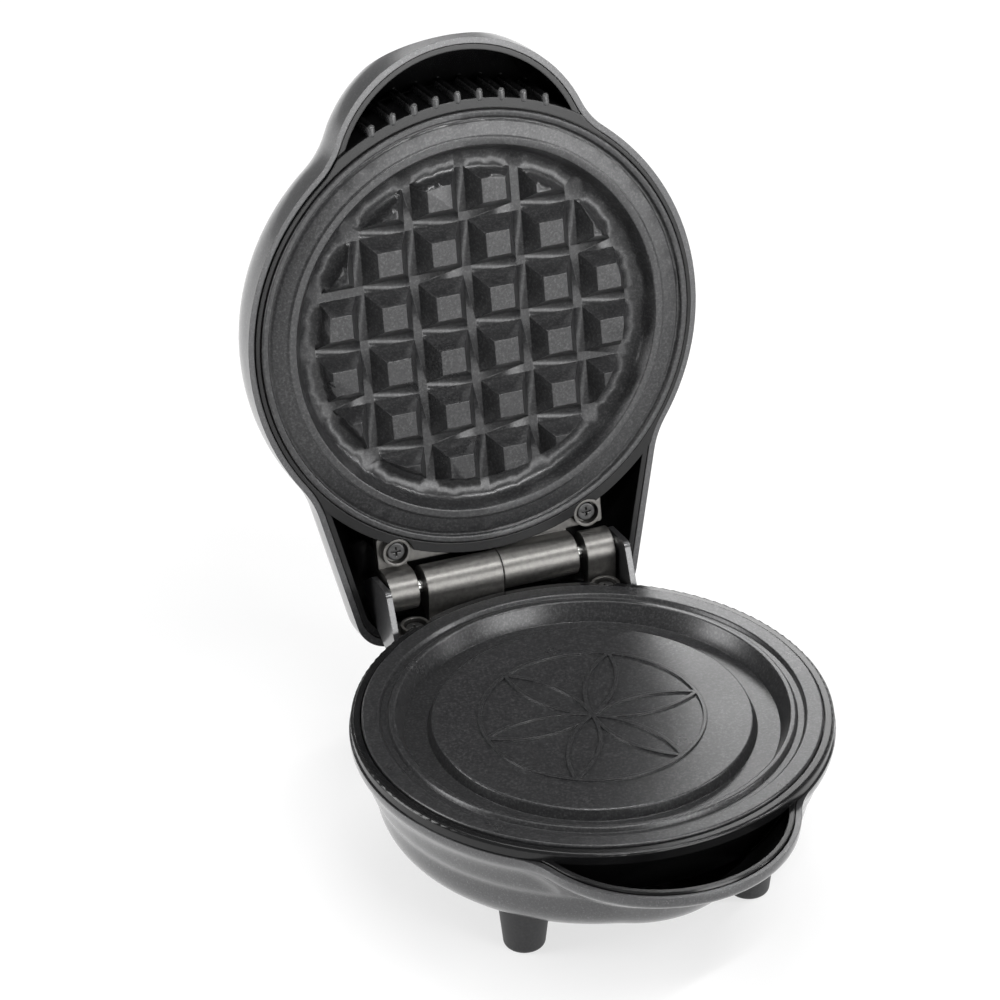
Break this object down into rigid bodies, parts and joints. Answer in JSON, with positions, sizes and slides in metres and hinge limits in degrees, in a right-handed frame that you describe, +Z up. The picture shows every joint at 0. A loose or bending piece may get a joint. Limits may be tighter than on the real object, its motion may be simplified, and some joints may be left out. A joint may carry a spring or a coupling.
{
  "type": "mini waffle maker",
  "caption": "Small round waffle maker, open: grid plate in the hinged lid, flat plate in a bowl-shaped base on four feet.",
  "frame": {"origin": "on the table under the middle of the open object, 18.9 mm behind the axis of the lower plate", "axes": "+Z up, +Y towards the hinge, +X to the right when facing the front; the hinge runs along X"},
  "size_m": [0.1252, 0.1957, 0.191],
  "materials": {
    "painted_shell": "satin metallic dark grey paint",
    "black_liner": "glossy black moulded plastic",
    "cooking_plate": "charcoal non-stick coating on cast aluminium",
    "heater_tube": "steel tube, dulled by heat",
    "steel_pan": "sheet steel",
    "bright_pan": "sheet aluminium",
    "screw_steel": "dark zinc-plated steel",
    "hinge_metal": "satin die-cast metal",
    "pin_steel": "ground steel",
    "bottom_metal": "dark painted steel",
    "foot_rubber": "dark moulded foot",
    "bushing_rubber": "black rubber",
    "control_body": "moulded phenolic",
    "lens": "translucent blue"
  },
  "bodies": {
    "base": {"base_shell": "painted_shell", "base_liner": "black_liner", "lower_plate": "cooking_plate", "lower_heater": "heater_tube", "lower_reflector": "steel_pan", "lower_plate_screws": "screw_steel", "thermostat": "control_body", "thermal_fuse": "control_body", "terminal_block": "control_body", "bottom_cover": "bottom_metal", "cover_screws": "screw_steel", "foot_front_left": "foot_rubber", "foot_front_right": "foot_rubber", "foot_rear_left": "foot_rubber", "foot_rear_right": "foot_rubber", "cord_bushing": "bushing_rubber", "lower_hinge_bracket": "hinge_metal", "lower_hinge_screws": "screw_steel", "hinge_pin": "pin_steel"},
    "lid": {"lid_shell": "painted_shell", "lid_liner": "black_liner", "upper_plate": "cooking_plate", "upper_heater": "heater_tube", "upper_reflector": "bright_pan", "upper_plate_screws": "screw_steel", "upper_hinge_bracket": "hinge_metal", "upper_hinge_screws": "screw_steel", "indicator_lens": "lens", "indicator_lamp": "control_body"}
  },
  "joints": [
    {"name": "lid_hinge", "type": "hinge", "parent": "base", "child": "lid", "pos_m": [0, 0.0497, 0.04635], "axis": [1, 0, 0], "range_deg": [0, 100.8]}
  ]
}
